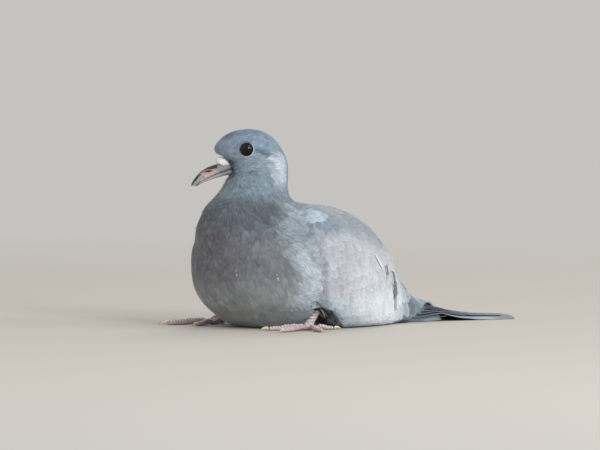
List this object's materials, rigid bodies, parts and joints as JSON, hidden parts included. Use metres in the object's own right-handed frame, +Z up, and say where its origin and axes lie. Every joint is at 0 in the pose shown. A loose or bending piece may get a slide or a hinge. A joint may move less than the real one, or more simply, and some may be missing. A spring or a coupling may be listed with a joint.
{
  "type": "stock dove",
  "caption": "Life-size still model of a young stock dove resting on its belly, wings folded, head turned to its right and tail laid flat behind it.",
  "frame": {"origin": "on the floor, under the middle of the whole bird's box", "axes": "+Z up, -Y the way the body faces, +X the bird's left side"},
  "size_m": [0.1256, 0.204, 0.104],
  "materials": {
    "blue_grey_feather": "soft matt plumage",
    "brown_grey_feather": "soft matt plumage",
    "pale_wing_feather": "close matt plumage",
    "dark_flight_feather": "smooth low-sheen feather",
    "pinkish_bill_horn": "satin horn",
    "white_cere_skin": "dry powdery skin",
    "dark_wet_eye": "wet gloss",
    "blue_grey_lid_skin": "bare skin",
    "pink_toe_scale": "dry scaly skin",
    "pale_claw_horn": "satin horn"
  },
  "bodies": {
    "root": {"head": "blue_grey_feather", "neck": "blue_grey_feather", "trunk": "brown_grey_feather", "tail": "dark_flight_feather", "bill_upper": "pinkish_bill_horn", "bill_lower": "pinkish_bill_horn", "cere": "white_cere_skin", "eye_left": "dark_wet_eye", "eyelid_left": "blue_grey_lid_skin", "wing_left": "pale_wing_feather", "primaries_left": "dark_flight_feather", "shank_left": "pink_toe_scale", "toe_inner_left": "pink_toe_scale", "claw_inner_left": "pale_claw_horn", "toe_middle_left": "pink_toe_scale", "claw_middle_left": "pale_claw_horn", "toe_outer_left": "pink_toe_scale", "claw_outer_left": "pale_claw_horn", "toe_hind_left": "pink_toe_scale", "claw_hind_left": "pale_claw_horn", "eye_right": "dark_wet_eye", "eyelid_right": "blue_grey_lid_skin", "wing_right": "pale_wing_feather", "primaries_right": "dark_flight_feather", "shank_right": "pink_toe_scale", "toe_inner_right": "pink_toe_scale", "claw_inner_right": "pale_claw_horn", "toe_middle_right": "pink_toe_scale", "claw_middle_right": "pale_claw_horn", "toe_outer_right": "pink_toe_scale", "claw_outer_right": "pale_claw_horn", "toe_hind_right": "pink_toe_scale", "claw_hind_right": "pale_claw_horn"}
  },
  "joints": []
}
